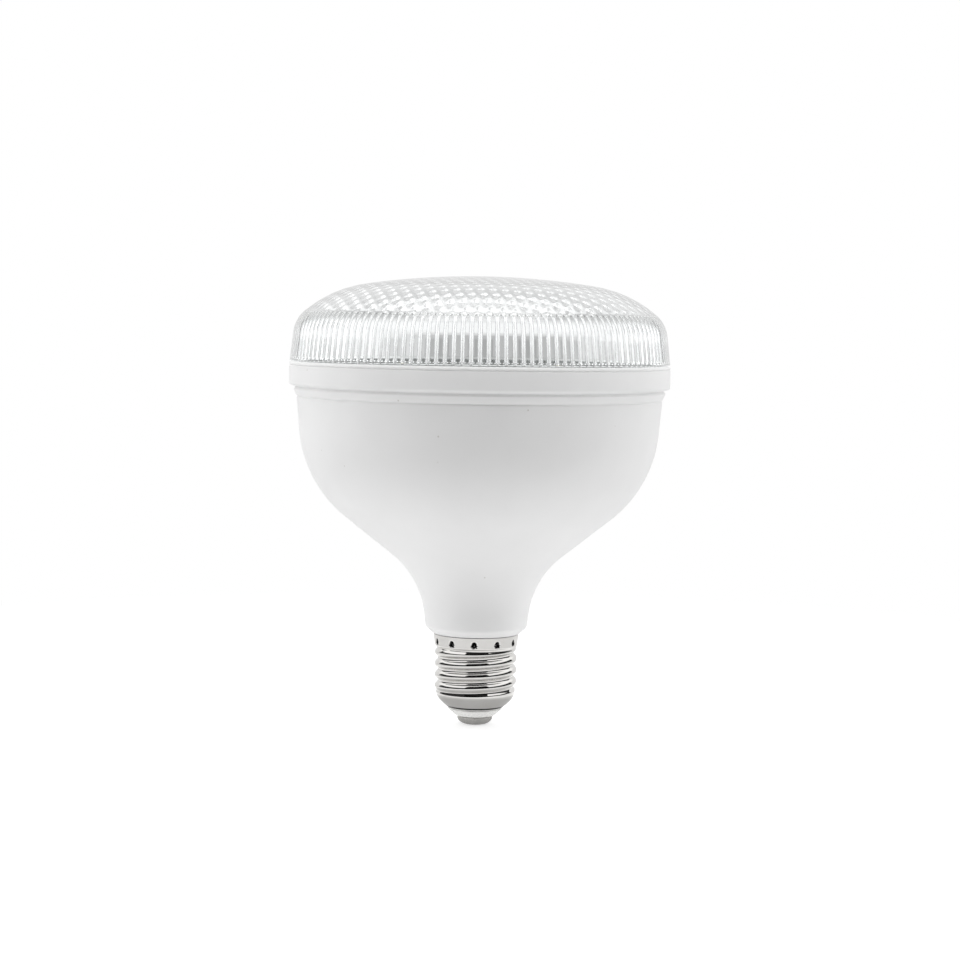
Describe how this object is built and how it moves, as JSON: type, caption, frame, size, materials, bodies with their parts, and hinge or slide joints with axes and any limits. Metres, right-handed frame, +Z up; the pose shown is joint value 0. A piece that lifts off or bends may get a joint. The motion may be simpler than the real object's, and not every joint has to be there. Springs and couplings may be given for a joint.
{
  "type": "high-wattage led bulb",
  "caption": "Wide flat-topped light bulb with a clear prismatic cover, a white flared housing with its driver inside, and a screw cap.",
  "frame": {"origin": "middle of the small flat on the tip contact, at the bottom of the bulb's axis", "axes": "+Z up the bulb's axis from the tip contact to the cover; +X and +Y square to it"},
  "size_m": [0.1204, 0.1204, 0.1425],
  "materials": {
    "clear_cover": "clear colourless plastic, smooth outside, prisms inside",
    "white_housing": "white moulded plastic, satin",
    "nickel_cap": "bright nickel plate on rolled brass sheet",
    "cap_insulator": "white moulded insulator",
    "contact_metal": "tinned brass contact",
    "pressed_aluminium": "plain pressed aluminium sheet",
    "board_white": "aluminium-core board with a white mask",
    "terminal_white": "white moulded terminal",
    "driver_green": "green glass-fibre board",
    "ferrite": "dark grey ferrite",
    "winding_tape": "yellow winding tape",
    "capacitor_sleeve": "dark shrink sleeve",
    "film_red": "red dipped coating",
    "black_resin": "black moulded resin",
    "ceramic_grey": "grey ceramic body",
    "lead_red": "red sheath",
    "lead_black": "black sheath",
    "lead_white": "white sheath",
    "zinc_steel": "zinc plated steel",
    "led_phosphor": "yellow phosphor in a white package"
  },
  "bodies": {
    "root": {"cover": "clear_cover", "housing": "white_housing", "cap_shell": "nickel_cap", "cap_insulator": "cap_insulator", "centre_contact": "contact_metal", "heat_sink_cup": "pressed_aluminium", "led_board": "board_white", "wire_terminal": "terminal_white", "driver_board": "driver_green", "transformer_core": "ferrite", "transformer_winding": "winding_tape", "bulk_capacitor": "capacitor_sleeve", "output_capacitor": "capacitor_sleeve", "input_choke": "ferrite", "film_capacitor": "film_red", "bridge_rectifier": "black_resin", "controller_chip": "black_resin", "fuse_resistor": "ceramic_grey", "output_lead_red": "lead_red", "output_lead_black": "lead_black", "input_lead_contact": "lead_white", "input_lead_shell": "lead_white", "board_screw_1": "zinc_steel", "board_screw_2": "zinc_steel", "board_screw_3": "zinc_steel", "led_01": "led_phosphor", "led_02": "led_phosphor", "led_03": "led_phosphor", "led_04": "led_phosphor", "led_05": "led_phosphor", "led_06": "led_phosphor", "led_07": "led_phosphor", "led_08": "led_phosphor", "led_09": "led_phosphor", "led_10": "led_phosphor", "led_11": "led_phosphor", "led_12": "led_phosphor", "led_13": "led_phosphor", "led_14": "led_phosphor", "led_15": "led_phosphor", "led_16": "led_phosphor", "led_17": "led_phosphor", "led_18": "led_phosphor", "led_19": "led_phosphor", "led_20": "led_phosphor", "led_21": "led_phosphor", "led_22": "led_phosphor", "led_23": "led_phosphor", "led_24": "led_phosphor", "led_25": "led_phosphor", "led_26": "led_phosphor", "led_27": "led_phosphor", "led_28": "led_phosphor", "led_29": "led_phosphor", "led_30": "led_phosphor"}
  },
  "joints": []
}
